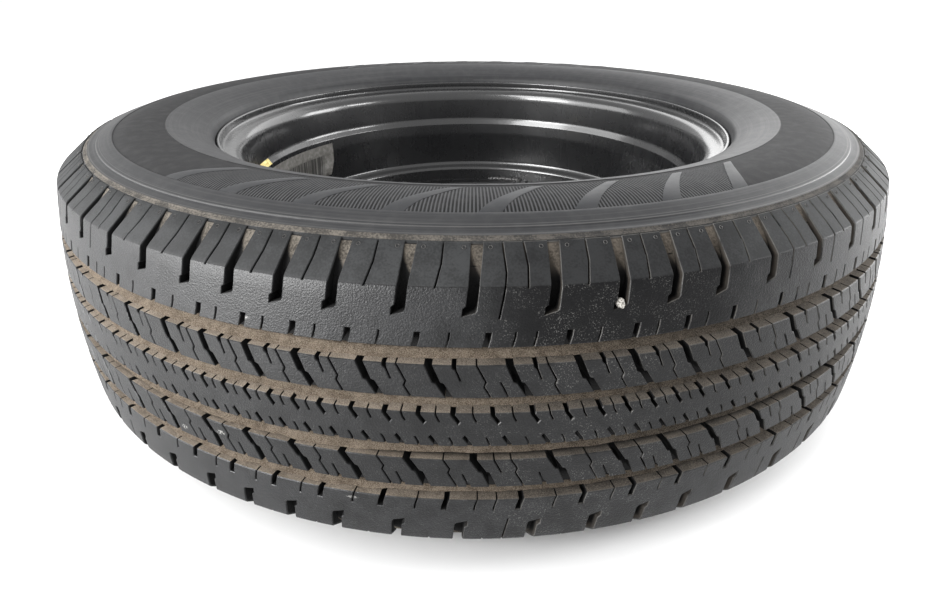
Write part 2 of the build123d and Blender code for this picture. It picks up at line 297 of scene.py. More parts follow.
for corner in carcass.verts:
    radius = math.hypot(corner.co.x, corner.co.y)
    inside_tread = abs(corner.co.z) < tread_half_height and radius > tread_inner_radius
    corner[carcass_depth] = tread_radius(corner.co.z) - radius if inside_tread else side_mark


def make_piece(name, shape, material, sharp_angle=35):
    """Turns a bmesh drawn in millimetres into an object in metres, smooth but for its sharp edges."""
    bmesh.ops.scale(shape, vec=(metres, metres, metres), verts=shape.verts[:])
    mesh = bpy.data.meshes.new(name)
    shape.to_mesh(mesh)
    shape.free()
    for polygon in mesh.polygons:
        polygon.use_smooth = True
    mesh.set_sharp_from_angle(angle=math.radians(sharp_angle))
    mesh.materials.append(material)
    piece = bpy.data.objects.new(name, mesh)
    bpy.context.scene.collection.objects.link(piece)
    return piece


# Smooth bars stand out of the sidewall in two groups, each bar leaning, with ridged panels between them
bar_groups = (-35.95, 144.05)
bar_count = 8
bar_spacing = 9.39
bar_width = 2.3
bar_lean = 3.6
bar_sweep = 2.4
bar_outer = 309.0
bar_inner = 276.5
bar_rise = 0.32
bar_foot = -0.6
bar_taper = 0.32
bar_rungs = 14
ridge_count = 948


def sidewall_height(radius):
    """Height of the sidewall's outer face at a radius, read off its section."""
    for (r0, z0), (r1, z1) in zip(sidewall_line, sidewall_line[1:]):
        if r1 <= radius <= r0:
            return z0 + (z1 - z0) * (radius - r0) / (r1 - r0)
    return sidewall_line[0][1]


def skin(shape, rows, joined=False):
    """Spans faces between closed rows of corners; the end rows are joined to each other or capped."""
    followers = rows[1:] + rows[:1] if joined else rows[1:]
    for row, after in zip(rows, followers):
        for place in range(len(row)):
            shape.faces.new([row[place - 1], row[place], after[place], after[place - 1]])
    if not joined:
        shape.faces.new(rows[0])
        shape.faces.new(rows[-1])


def add_bar(angle, side):
    """Adds one raised bar on one side: a strip along its leaning line, with walls sunk into the sidewall."""
    rows = []
    for rung in range(bar_rungs + 1):
        share = rung / bar_rungs
        radius = bar_outer + (bar_inner - bar_outer) * share
        middle = angle + bar_lean * share + bar_sweep * share**2
        half = bar_width / 2 * (1 - bar_taper * share)
        height = sidewall_height(radius)
        crest = 0.0 if rung in (0, bar_rungs) else bar_rise
        edge = crest * 0.7
        profile = ((-1, bar_foot), (-1, edge), (-0.9, crest), (0.9, crest), (1, edge), (1, bar_foot))
        row = []
        for offset, rise in profile:
            turn = math.radians(side * (middle + offset * half))
            level = side * (height + rise)
            row.append(carcass.verts.new((radius * math.sin(turn), -radius * math.cos(turn), level)))
            row[-1][carcass_depth] = bar_mark
        rows.append(row)
    skin(carcass, rows)


# Ramps: the floor of each shoulder slot climbs to its mouth. The layer "across" runs from one at the slot's
# left wall to two at its right wall, so that mud can lie on the right. The bare left part is black,
# partly as the painted shadow of the left wall.
across_layer = carcass.verts.layers.float.new("across")
ramp_heights = (90.8, 88.0, 85.0, 82.0, 79.5, 77.0, 74.5, 71.0, 68.0)
ramp_overrun = 0.12
ramp_lift = 0.12
ramp_slab = 0.8


def read_off(line, place):
    """Second value of a line of pairs at a first value, between its points."""
    points = sorted(line)
    for (x0, y0), (x1, y1) in zip(points, points[1:]):
        if x0 <= place <= x1:
            return y0 + (y1 - y0) * (place - x0) / (x1 - x0)
    return points[-1][1]


def add_ramp(start, way):
    """Adds one ramp, a thin slab from wall to wall; the way is minus one for the lower shoulder."""
    rows = []
    for height in ramp_heights:
        left = read_off([(z, x) for x, z in slot_left], height) - ramp_overrun
        right = read_off([(z, x) for x, z in slot_right], height) + ramp_overrun
        row = []
        for share, sunk in ((0, 0), (0.25, 0), (0.5, 0), (0.75, 0), (1, 0), (1, ramp_slab), (0, ramp_slab)):
            ramp_depth = read_off(slot_ramp, height) - ramp_lift + sunk
            around, level = tread_point(height, ramp_depth)
            turn = math.radians(start + way * (left + (right - left) * share))
            corner = carcass.verts.new((around * math.sin(turn), -around * math.cos(turn), way * level))
            corner[carcass_depth] = ramp_depth
            corner[across_layer] = 1 + share
            row.append(corner)
        rows.append(row)
    skin(carcass, rows)


# Vent marks: a small ring is left by the mould at both top corners of each shoulder block
vent_size = 0.92
vent_wire = 0.26
vent_height = 89.7
vent_reach = 1.1
vent_foot = -0.2
vent_spokes = 14
vent_profile = (
    (vent_size - vent_wire, vent_foot),
    (vent_size, vent_wire),
    (vent_size + vent_wire, vent_foot),
)
slot_middle = 0.45


def add_vent(angle, side):
    """Adds one ring, laid flat on the shoulder's slope."""
    around, level = tread_point(vent_height, 0.0)
    lean = math.atan(shoulder_fall)
    rows = []
    for spoke in range(vent_spokes):
        spin = math.tau * spoke / vent_spokes
        row = []
        for reach, rise in vent_profile:
            across = reach * math.cos(spin)
            up = reach * math.sin(spin)
            turn = math.radians(angle) + side * across / around
            out = around - up * math.sin(lean) + rise * math.cos(lean)
            ring_level = side * (level + up * math.cos(lean) + rise * math.sin(lean))
            row.append(carcass.verts.new((out * math.sin(turn), -out * math.cos(turn), ring_level)))
            row[-1][carcass_depth] = vent_mark
        rows.append(row)
    skin(carcass, rows, joined=True)


plain_faces = set(carcass.faces)
for start, kind in zip(pitch_starts, pitch_order):
    upper_slot = start + shoulder_lag
    lower_slot = start + pitch_share[kind] * degrees_per_share - shoulder_half_turn_shift - shoulder_lag
    add_ramp(upper_slot, 1)
    add_ramp(lower_slot, -1)
    for away_from_slot in (-vent_reach, vent_reach):
        add_vent(upper_slot + slot_middle + away_from_slot, 1)
        add_vent(lower_slot - slot_middle + away_from_slot, -1)
for first_bar in bar_groups:
    for number in range(bar_count):
        add_bar(first_bar + bar_spacing * number, 1)
        add_bar(first_bar + bar_spacing * number, -1)
bmesh.ops.recalc_face_normals(carcass, faces=[face for face in carcass.faces if face not in plain_faces])
passing = bpy.data.meshes.new("passing")
carcass.to_mesh(passing)
tread.from_mesh(passing)
bpy.data.meshes.remove(passing)
carcass.free()


def add_node(tree, kind, inputs=None, output=0, **options):
    """Adds a shader node with its options and inputs, and gives back one of its outputs."""
    node = tree.nodes.new(kind)
    for name, value in options.items():
        setattr(node, name, value)
    for key, value in (inputs or {}).items():
        if isinstance(value, bpy.types.NodeSocket):
            tree.links.new(value, node.inputs[key])
        else:
            node.inputs[key].default_value = value
    return node.outputs[output]


def reckon(tree, operation, first, second=0.0):
    """One step of arithmetic on values."""
    return add_node(tree, "ShaderNodeMath", {0: first, 1: second}, operation=operation)


def plus(tree, first, second):
    """Sum of two values."""
    return reckon(tree, "ADD", first, second)


def minus(tree, first, second):
    """Difference of two values."""
    return reckon(tree, "SUBTRACT", first, second)


def times(tree, first, second):
    """Product of two values."""
    return reckon(tree, "MULTIPLY", first, second)


def larger(tree, first, second):
    """The larger of two values."""
    return reckon(tree, "MAXIMUM", first, second)


def ramp(tree, value, low, high):
    """Goes smoothly from nought at one value to one at another."""
    limits = {"Value": value, "From Min": low, "From Max": high}
    return add_node(tree, "ShaderNodeMapRange", limits, interpolation_type="SMOOTHSTEP")


def band(tree, value, low, high, soft):
    """One between two values and nought outside them, with soft edges."""
    rise = ramp(tree, value, low - soft, low + soft)
    return times(tree, rise, ramp(tree, value, high + soft, high - soft))


def blend(tree, factor, first, second):
    """Mixes two colours."""
    return add_node(tree, "ShaderNodeMix", {0: factor, 6: first, 7: second}, output=2, data_type="RGBA")


def grain(tree, scale, detail=4.0, stretch=(1, 1, 1)):
    """Cloudy noise over the surface; its scale is in spots a metre."""
    spot = add_node(tree, "ShaderNodeTexCoord", output=3)
    spot = add_node(tree, "ShaderNodeMapping", {0: spot, 3: stretch})
    return add_node(tree, "ShaderNodeTexNoise", {"Vector": spot, "Scale": scale, "Detail": detail})


def wheel_place_group():
    """Shared group: radius in millimetres, angle in degrees from the camera side, height in millimetres."""
    group = bpy.data.node_groups.new("wheel_place", "ShaderNodeTree")
    for name in ("radius", "angle", "height"):
        group.interface.new_socket(name, in_out="OUTPUT", socket_type="NodeSocketFloat")
    spot = add_node(group, "ShaderNodeTexCoord", output=3)
    split = add_node(group, "ShaderNodeSeparateXYZ", {0: spot}).node
    across, along, up = split.outputs
    reach = reckon(group, "SQRT", plus(group, times(group, across, across), times(group, along, along)))
    turn = reckon(group, "ARCTAN2", across, times(group, along, -1.0))
    results = {0: reckon(group, "DIVIDE", reach, metres), 1: reckon(group, "DEGREES", turn)}
    results[2] = reckon(group, "DIVIDE", up, metres)
    finish = group.nodes.new("NodeGroupOutput")
    for index, value in results.items():
        group.links.new(value, finish.inputs[index])
    return group


def wheel_place(tree):
    """Radius, angle and height of the shaded point."""
    node = tree.nodes.new("ShaderNodeGroup")
    node.node_tree = place_group
    return node.outputs


def new_material(name):
    """An empty material with its node tree and its shader."""
    material = bpy.data.materials.new(name)
    material.use_nodes = True
    return material, material.node_tree, material.node_tree.nodes["Principled BSDF"].inputs


place_group = wheel_place_group()
rubber, tree, shader = new_material("tyre_rubber")
radius, angle, height = wheel_place(tree)
away = reckon(tree, "ABSOLUTE", height)
depth = add_node(tree, "ShaderNodeAttribute", output=2, attribute_name="depth")
fine = grain(tree, 900, 5)
coarse = grain(tree, 90, 5)
broad = grain(tree, 11, 3)
blotch = plus(tree, times(tree, fine, 0.5), times(tree, coarse, 0.5))

# Worn tread faces: dark grey, a little lighter where abraded, with pale grit and scuffs. Right of the middle
# the upper shoulder is darker and duller, a painted shade.
face_tone = ramp(tree, plus(tree, blotch, times(tree, broad, 0.35)), 0.55, 0.82)
worn = ramp(tree, away, 76.4, 75.6)
new_rubber = blend(tree, face_tone, (0.0145, 0.0152, 0.0158, 1), (0.032, 0.0333, 0.0346, 1))
worn_rubber = blend(tree, face_tone, (0.0072, 0.0074, 0.0079, 1), (0.0187, 0.0192, 0.0205, 1))
colour = blend(tree, worn, new_rubber, worn_rubber)
# Painted shade: the upper shoulder right of the middle is darkened, the worn face most
painted_shade = times(tree, band(tree, angle, 1.5, 23.0, 4.0), ramp(tree, height, 45.0, 47.0))
painted_shade = times(tree, painted_shade, plus(tree, 0.45, times(tree, worn, 0.45)))
colour = blend(tree, painted_shade, colour, (0.004, 0.0041, 0.0045, 1))
# Painted shade: a dark line along the shoulder's edge, near the front
crease_shade = times(tree, band(tree, height, 75.7, 76.2, 0.2), band(tree, angle, -9.0, 6.0, 3.0))
colour = blend(tree, times(tree, crease_shade, 0.55), colour, (0.004, 0.004, 0.0042, 1))
middle_ribs = ramp(tree, away, 46.0, 44.0)
colour = blend(tree, times(tree, middle_ribs, 0.56), colour, (0.006, 0.0061, 0.0065, 1))
grit = times(tree, ramp(tree, grain(tree, 1500, 3), 0.57, 0.68), ramp(tree, coarse, 0.36, 0.58))
gritty = times(tree, band(tree, angle, 2.0, 17.0, 5.0), 0.4)
grit = times(tree, grit, plus(tree, 0.2, gritty))
colour = blend(tree, times(tree, grit, worn), colour, (0.16, 0.157, 0.15, 1))
scuffs = (
    (-19.0, 51.3, 3.0, 1.2), (-23.2, -25.1, 3.5, 1.6), (-10.5, -49.6, 4.0, 0.9), (-28.0, -31.9, 2.6, 1.6),
)
for scuff_angle, scuff_height, scuff_length, scuff_breadth in scuffs:
    along = times(tree, minus(tree, angle, scuff_angle), arc_per_degree / scuff_length)
    across = reckon(tree, "DIVIDE", minus(tree, height, scuff_height), scuff_breadth)
    spread = plus(tree, times(tree, along, along), times(tree, across, across))
    mark = times(tree, ramp(tree, spread, 1.2, 0.2), ramp(tree, fine, 0.42, 0.6))
    colour = blend(tree, mark, colour, (0.34, 0.335, 0.32, 1))

# Walls of slots and slits: dark rubber deepened to nearly black by painted shade, brown near the face on the
# right, where the edges are rubbed pale
wall = ramp(tree, depth, 0.4, 1.4)
facing = add_node(tree, "ShaderNodeNewGeometry", output=1)
face_x, face_y, face_z = add_node(tree, "ShaderNodeSeparateXYZ", {0: facing}).node.outputs
turn = reckon(tree, "RADIANS", angle)
leftward = times(tree, face_x, reckon(tree, "COSINE", turn))
leftward = plus(tree, leftward, times(tree, face_y, reckon(tree, "SINE", turn)))
brown = times(tree, band(tree, angle, 1.0, 125.0, 5.0), ramp(tree, depth, 4.6, 1.8))
brown = times(tree, brown, ramp(tree, away, 60.0, 66.0))
wall_shade_and_dirt_colour = blend(tree, brown, (0.0045, 0.0045, 0.0047, 1), (0.058, 0.050, 0.042, 1))
colour = blend(tree, wall, colour, wall_shade_and_dirt_colour)
# Painted highlight on wear: rubbed pale edges are lightened only where they face up and to the left
pale = minus(tree, times(tree, face_z, 0.6), leftward)
edge = times(tree, band(tree, depth, 0.15, 0.8, 0.15), ramp(tree, pale, 0.25, 0.6))
edge = times(tree, edge, ramp(tree, coarse, 0.3, 0.5))
edge = times(tree, edge, times(tree, band(tree, angle, 0.0, 130.0, 7.0), 0.42))
colour = blend(tree, edge, colour, (0.19, 0.18, 0.165, 1))

# Dried mud: a coat on the groove walls that face up, on the shoulder slots' ramps and on the shelf above the
# blocks. It is thick and tan on the left and thin and brown on the right. Walls that face along stay bare.
thick = band(tree, angle, -118.0, -1.0, 11.0)
mud_dark = blend(tree, thick, (0.050, 0.043, 0.036, 1), (0.16, 0.128, 0.097, 1))
mud_light = blend(tree, thick, (0.15, 0.13, 0.108, 1), (0.345, 0.291, 0.233, 1))
crumb = plus(tree, times(tree, grain(tree, 2100, 3), 0.7), times(tree, coarse, 0.3))
mud = blend(tree, ramp(tree, crumb, 0.38, 0.62), mud_dark, mud_light)
groove_zone = band(tree, away, centre_half - 0.5, rib_inner + 0.5, 0.3)
groove_zone = plus(tree, groove_zone, band(tree, away, rib_outer - 0.5, shoulder_foot + 0.5, 0.3))
along_wall = ramp(tree, reckon(tree, "ABSOLUTE", leftward), 0.5, 0.3)
dirty = times(tree, groove_zone, ramp(tree, depth, 0.36, 0.75))
dirty = times(tree, dirty, times(tree, along_wall, ramp(tree, face_z, 0.2, 0.45)))
colour = blend(tree, dirty, colour, mud)
across_slot = add_node(tree, "ShaderNodeAttribute", output=2, attribute_name="across")
# Mud on each ramp narrows downwards; its bare black left part is partly painted shadow
bare_and_shadow_share = plus(tree, 1.0, times(tree, ramp(tree, away, 89.0, 71.5), 1.25))
bare_and_shadow_share = plus(tree, bare_and_shadow_share, times(tree, minus(tree, blotch, 0.5), 0.6))
ramp_dirt = ramp(tree, minus(tree, across_slot, bare_and_shadow_share), -0.14, 0.16)
ramp_light = blend(tree, thick, (0.115, 0.098, 0.08, 1), (0.19, 0.167, 0.138, 1))
ramp_mud = blend(tree, ramp(tree, blotch, 0.36, 0.62), (0.045, 0.039, 0.032, 1), ramp_light)
colour = blend(tree, ramp_dirt, colour, ramp_mud)

# Sidewall: a smooth grey ring, a dark band with ridged panels and bars, and a smooth grey ring by the rim
on_side = ramp(tree, depth, -0.4, -0.9)
bar = ramp(tree, depth, -1.3, -1.8)
vent = ramp(tree, depth, -2.4, -2.8)
outer_ring = ramp(tree, radius, 309.3, 310.0)
inner_ring = ramp(tree, radius, 272.2, 271.6)
smooth_ring = larger(tree, outer_ring, inner_ring)
side_colour = blend(tree, smooth_ring, (0.0145, 0.0145, 0.0155, 1), (0.027, 0.0275, 0.0295, 1))
share = reckon(tree, "DIVIDE", minus(tree, bar_outer, radius), bar_outer - bar_inner)
lean = times(tree, share, plus(tree, bar_lean, times(tree, share, bar_sweep)))
in_panels = 0.0
for first_bar in bar_groups:
    past = reckon(tree, "WRAP", minus(tree, minus(tree, angle, lean), first_bar), 180.0)
    past.node.inputs[2].default_value = -180.0
    in_panels = plus(tree, in_panels, band(tree, past, 0.0, bar_spacing * (bar_count - 1), 0.05))
# Ridged panels: crests painted light as painted highlights, valleys painted black as painted shade
ridge_and_highlight = reckon(tree, "SINE", times(tree, angle, math.tau * ridge_count / 360))
in_panels = times(tree, in_panels, band(tree, radius, 276.0, 309.0, 0.15))
in_panels = times(tree, in_panels, minus(tree, 1.0, bar))
ridge_and_highlight = times(tree, ramp(tree, ridge_and_highlight, -0.25, 0.55), in_panels)
valley_shade = minus(tree, in_panels, ridge_and_highlight)
side_colour = blend(tree, valley_shade, side_colour, (0.004, 0.004, 0.0043, 1))
side_colour = blend(tree, ridge_and_highlight, side_colour, (0.060, 0.061, 0.064, 1))
side_colour = blend(tree, bar, side_colour, (0.036, 0.037, 0.0395, 1))
side_colour = blend(tree, vent, side_colour, (0.088, 0.085, 0.081, 1))
streak = ramp(tree, grain(tree, 130, 8, (1, 1, 0.3)), 0.40, 0.72)
side_colour = blend(tree, times(tree, streak, 0.15), side_colour, (0.085, 0.084, 0.082, 1))
spot = add_node(tree, "ShaderNodeCombineXYZ", {0: radius, 1: times(tree, angle, 0.03)})
fine_rings = add_node(tree, "ShaderNodeTexNoise", {"Vector": spot, "Scale": 0.8, "Detail": 3.0})
fine_rings = ramp(tree, fine_rings, 0.46, 0.66)
fine_rings = times(tree, fine_rings, times(tree, smooth_ring, 0.3))
side_colour = blend(tree, fine_rings, side_colour, (0.075, 0.074, 0.073, 1))
# Painted highlights: thin light lines along the smooth ring's mould lines
mould_line_highlight = larger(tree, band(tree, radius, 320.3, 320.9, 0.15), band(tree, radius, 325.6, 326.4, 0.2))
mould_line_highlight = larger(tree, mould_line_highlight, band(tree, radius, 318.7, 319.1, 0.15))
side_colour = blend(tree, times(tree, mould_line_highlight, 0.42), side_colour, (0.13, 0.127, 0.122, 1))
shelf = times(tree, band(tree, radius, 326.9, 333.0, 0.3), ramp(tree, away, 90.5, 91.2))
shelf_mud = blend(tree, ramp(tree, blotch, 0.4, 0.62), (0.045, 0.041, 0.036, 1), (0.155, 0.138, 0.117, 1))
shelf_share = plus(tree, 0.45, times(tree, thick, 0.5))
side_colour = blend(tree, times(tree, shelf, shelf_share), side_colour, shelf_mud)
colour = blend(tree, on_side, colour, side_colour)
tree.links.new(colour, shader["Base Color"])

# Roughness: smooth rings, bars and worn faces shine a little, walls and mud are matt
muddy = larger(tree, larger(tree, dirty, ramp_dirt), times(tree, shelf, on_side))
gloss = times(tree, larger(tree, smooth_ring, bar), on_side)
gloss = larger(tree, gloss, times(tree, worn, minus(tree, 1.0, on_side)))
rough = minus(tree, plus(tree, 0.62, times(tree, blotch, 0.2)), times(tree, gloss, 0.26))
rough = larger(tree, rough, times(tree, larger(tree, muddy, wall), 0.93))
tree.links.new(rough, shader["Roughness"])
relief = plus(tree, times(tree, ridge_and_highlight, 0.8), times(tree, blotch, 0.12))
relief = plus(tree, relief, times(tree, times(tree, muddy, blotch), 1.4))
rubbed = times(tree, times(tree, worn, grain(tree, 1100, 2)), 0.5)
relief = plus(tree, relief, rubbed)
bump = add_node(tree, "ShaderNodeBump", {"Height": relief, "Distance": 0.0007, "Strength": 0.8})
tree.links.new(bump, shader["Normal"])
# The painted shade right of the middle also lowers the reflection there
reflection = minus(tree, 0.2, times(tree, painted_shade, 0.1))
tree.links.new(reflection, shader["Specular IOR Level"])
tyre = make_piece("tyre_moulding", tread, rubber)
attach(tyre, "wheel")
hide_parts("tyre")

# Dried mud in the lower corners of the four grooves: low uneven strips that lie against the wall that faces
# up, thicker on the left than on the right.
groove_middles = (41.2, 14.3, -14.3, -41.2)
mud_facets = 1300
mud_reach = (1.4, 0.0, -1.5, -2.2)
mud_profile = [(0.0, -1.0), (0.14, 4.4), (0.3, 3.3), (0.48, 2.2), (0.66, 1.3), (0.84, 0.7), (1.0, -1.0)]
mud_foot = -5.0
mud_thin_share = 0.55
mud_right_end = 10
mud_right_fade = 22
mud_left_end = -140
mud_left_fade = 30
mud_lumps = ((0.45, 0.7), (0.1, 1.3))
mud_shape = bmesh.new()
for number, (middle, reach) in enumerate(zip(groove_middles, mud_reach)):
    rings = []
    for facet in range(mud_facets):
        turn = 360 * facet / mud_facets - 180
        full = min(1.0, (mud_right_end - turn) / mud_right_fade, (turn - mud_left_end) / mud_left_fade)
        share = max(mud_thin_share, full)
        row = []
        for part, rise in mud_profile:
            offset = mud_foot + (reach - mud_foot) * part
            place = Vector((turn * arc_per_degree, (middle + offset) * 1.3, 7.7 * number))
            lumps = sum(noise.noise(place * scale) * size for scale, size in mud_lumps)
            top = (rise + lumps) * share if rise > 0 else rise
            around, level = tread_point(middle + offset, groove_depth - top)
            spin = math.radians(turn)
            row.append(mud_shape.verts.new((around * math.sin(spin), -around * math.cos(spin), level)))
        rings.append(row)
    skin(mud_shape, rings, joined=True)
bmesh.ops.recalc_face_normals(mud_shape, faces=mud_shape.faces[:])
dried_mud, tree, shader = new_material("dried_mud")
angle = wheel_place(tree)[1]
fine = grain(tree, 2100, 3)
coarse = grain(tree, 210, 5)
blotch = plus(tree, times(tree, fine, 0.72), times(tree, coarse, 0.28))
thick = band(tree, angle, -112.0, 8.0, 16.0)
dark = blend(tree, thick, (0.028, 0.024, 0.020, 1), (0.11, 0.084, 0.061, 1))
light = blend(tree, thick, (0.135, 0.114, 0.092, 1), (0.315, 0.26, 0.202, 1))
colour = blend(tree, ramp(tree, blotch, 0.38, 0.62), dark, light)
tree.links.new(colour, shader["Base Color"])
shader["Roughness"].default_value = 0.96
shader["Specular IOR Level"].default_value = 0.15
bump = add_node(tree, "ShaderNodeBump", {"Height": blotch, "Distance": 0.0012, "Strength": 0.9})
tree.links.new(bump, shader["Normal"])
groove_mud = make_piece("groove_mud", mud_shape, dried_mud, 80)
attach(groove_mud, "wheel")

# Pebble: a small pale stone caught in one shoulder slot.
pebble_angle = 11.75
pebble_height = 64.2
pebble_size = 4.6
pebble_stretch = 1.25
pebble_depth = 1.6
pebble_shape = bmesh.new()
bmesh.ops.create_icosphere(pebble_shape, subdivisions=3, radius=pebble_size / 2)
for corner in pebble_shape.verts:
    corner.co *= 1 + 0.22 * noise.noise(corner.co * 0.55)
    corner.co.z *= pebble_stretch
around, level = tread_point(pebble_height, pebble_depth)
turn = math.radians(pebble_angle)
bmesh.ops.translate(
    pebble_shape, verts=pebble_shape.verts[:],
    vec=(around * math.sin(turn), -around * math.cos(turn), level),
)


def two_tone(name, scale, detail, limits, first, second, roughness, change):
    """A finish in two tones under a cloudy mask, which changes its roughness too."""
    material, tree, shader = new_material(name)
    mask = ramp(tree, grain(tree, scale, detail), *limits)
    tree.links.new(blend(tree, mask, (*first, 1), (*second, 1)), shader["Base Color"])
    tree.links.new(plus(tree, roughness, times(tree, mask, change)), shader["Roughness"])
    return material, tree, shader


stone = two_tone("stone", 1200, 5, (0.38, 0.6), (0.15, 0.14, 0.125), (0.56, 0.54, 0.5), 0.95, -0.25)[0]
pebble = make_piece("pebble", pebble_shape, stone)
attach(pebble, "wheel")

# Rim: one rolled band of steel with rounded bends, painted gloss black inside and out. Its flanges curl
# outwards, and two steps lead down from the inboard seat to the well. The line is its axle side.
rim_thickness = 2.8
rim_facets = 256
lip_height = 81.4
lip_round = 1.2
ledge_radius = 207.5
lean_top = 30.4
lean_foot = 17.0
lean_spread = 1.8
rim_line = [
    (233.0, 81.5, 0), (233.0, 72.8, 3.6), (215.6, 72.4, 13.0), (212.5, 36.5, 10.0),
    (ledge_radius + lean_spread, lean_top, 2.5), (ledge_radius, lean_foot, 40.0),
    (ledge_radius, -22.4, 6.0), (198.0, -27.2, 5.0), (198.0, -47.9, 4.0), (213.9, -54.35, 4.0),
    (215.6, -72.4, 8.0), (233.0, -72.8, 4.5), (233.0, -81.5, 0),
]


def rounded(corners, steps=10):
    """Points along a line of corners, each with its own radius, that rounds them off."""
    points = [Vector(corners[0][:2])]
    for before, corner, after in zip(corners, corners[1:], corners[2:]):
        middle = Vector(corner[:2])
        arrive = (middle - Vector(before[:2])).normalized()
        leave = (Vector(after[:2]) - middle).normalized()
        run = corner[2] * math.tan(arrive.angle(leave) / 2)
        for step in range(steps + 1):
            share = step / steps
            points.append(middle - arrive * run * (1 - share) ** 2 + leave * run * share**2)
    points.append(Vector(corners[-1][:2]))
    return points


def turned_sheet(corners, thickness, facets):
    """Turns a rounded line into a ring of sheet metal, its wall laid on the right of the line."""
    points = rounded(corners)
    sides = []
    for before, point, after in zip([points[0]] + points, points, points[1:] + [points[-1]]):
        way = (after - before).normalized()
        sides.append(point + Vector((way.y, -way.x)) * thickness)
    shape = bmesh.new()
    ring = [shape.verts.new((0, -point.x, point.y)) for point in points + sides[::-1]]
    line = [shape.edges.new((ring[number - 1], ring[number])) for number in range(len(ring))]
    bmesh.ops.spin(
        shape, geom=ring + line, cent=(0, 0, 0), axis=(0, 0, 1), dvec=(0, 0, 0), angle=math.radians(360),
        steps=facets, use_merge=True,
    )
    bmesh.ops.remove_doubles(shape, verts=shape.verts[:], dist=0.001)
    bmesh.ops.recalc_face_normals(shape, faces=shape.faces[:])
    return shape


rim_shape = turned_sheet(rim_line, -rim_thickness, rim_facets)
lip_edges = [edge for edge in rim_shape.edges if min(abs(v.co.z) for v in edge.verts) > lip_height]
lip_edges = [edge for edge in lip_edges if edge.calc_face_angle(0) > 1]
bmesh.ops.bevel(
    rim_shape, geom=lip_edges, offset=lip_round, segments=4, profile=0.5, affect="EDGES", material=-1
)
black_paint, tree, shader = new_material("black_paint")
angle, height = wheel_place(tree)[1:]
spot = add_node(tree, "ShaderNodeCombineXYZ", {
    0: times(tree, angle, 0.9), 1: times(tree, height, 0.012)})
streaks = add_node(tree, "ShaderNodeTexNoise", {"Vector": spot, "Scale": 1.0, "Detail": 5.0})
streaks = ramp(tree, streaks, 0.52, 0.78)
dust = ramp(tree, grain(tree, 60, 4), 0.35, 0.75)
film = plus(tree, times(tree, streaks, 0.3), times(tree, dust, 0.2))
colour = blend(tree, film, (0.0085, 0.0086, 0.0093, 1), (0.017, 0.017, 0.018, 1))
tree.links.new(colour, shader["Base Color"])
rough = plus(tree, 0.27, times(tree, film, 0.06))
tree.links.new(rough, shader["Roughness"])
shader["Coat Weight"].default_value = 0.55
shader["Coat Roughness"].default_value = 0.12
peel = grain(tree, 240, 3)
bump = add_node(tree, "ShaderNodeBump", {"Height": peel, "Distance": 0.00012, "Strength": 0.07})
tree.links.new(bump, shader["Normal"])
rim = make_piece("rim_band", rim_shape, black_paint, 50)
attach(rim, "wheel")
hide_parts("rim")

# Disc: a pressed sheet centre with rounded bends, hub bore, stud holes sunk on the outboard face, and four
# scallops round its edge. The line is its outboard side.
disc_thickness = 4.0
disc_facets = 192
disc_face = -49.0
hub_bore_radius = 33.55
disc_line = [
    (197.95, -42.0, 0), (197.95, -51.0, 7.0), (116.0, -64.0, 16.0), (84.0, disc_face, 12.0),
    (hub_bore_radius, disc_face, 0),
]
scallop_reach = 240.0
scallop_start = 55.1
scallop_radius = 70.0
stud_circle_radius = 57.15
stud_radius = 7.0
seat_outer = 9.2
seat_inner = 6.8
seat_depth = 4.16
cutter_level = -55.0
cutter_length = 60.0
scallops = [(scallop_reach, scallop_start + 90 * number, scallop_radius) for number in range(4)]
studs = [(stud_circle_radius, 72 * number, stud_radius) for number in range(5)]


def cut_out(shape, cutter):
    """Cuts a closed shape out of another."""
    holders = []
    for source in (shape, cutter):
        mesh = bpy.data.meshes.new("cutting")
        source.to_mesh(mesh)
        source.free()
        holders.append(bpy.data.objects.new("cutting", mesh))
        bpy.context.scene.collection.objects.link(holders[-1])
    step = holders[0].modifiers.new("cut", "BOOLEAN")
    step.operation = "DIFFERENCE"
    step.solver = "EXACT"
    step.object = holders[1]
    graph = bpy.context.evaluated_depsgraph_get()
    result = bmesh.new()
    result.from_mesh(holders[0].evaluated_get(graph).data)
    for holder in holders:
        mesh = holder.data
        bpy.data.objects.remove(holder)
        bpy.data.meshes.remove(mesh)
    return result


disc_shape = turned_sheet(disc_line, disc_thickness, disc_facets)
cutter = bmesh.new()
for reach, turn, size in scallops + studs:
    place = (reach * math.cos(math.radians(turn)), reach * math.sin(math.radians(turn)), cutter_level)
    bmesh.ops.create_cone(
        cutter, cap_ends=True, segments=96 if size > 20 else 48, radius1=size, radius2=size,
        depth=cutter_length, matrix=Matrix.Translation(place),
    )
disc_shape = cut_out(disc_shape, cutter)
cutter = bmesh.new()
for reach, turn, size in studs:
    place = (reach * math.cos(math.radians(turn)), reach * math.sin(math.radians(turn)), disc_face)
    bmesh.ops.create_cone(
        cutter, cap_ends=True, segments=48, radius1=seat_outer, radius2=seat_inner, depth=seat_depth,
        matrix=Matrix.Translation(place),
    )
disc_shape = cut_out(disc_shape, cutter)
disc = make_piece("disc_pressing", disc_shape, black_paint, 30)
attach(disc, "wheel")
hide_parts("disc")

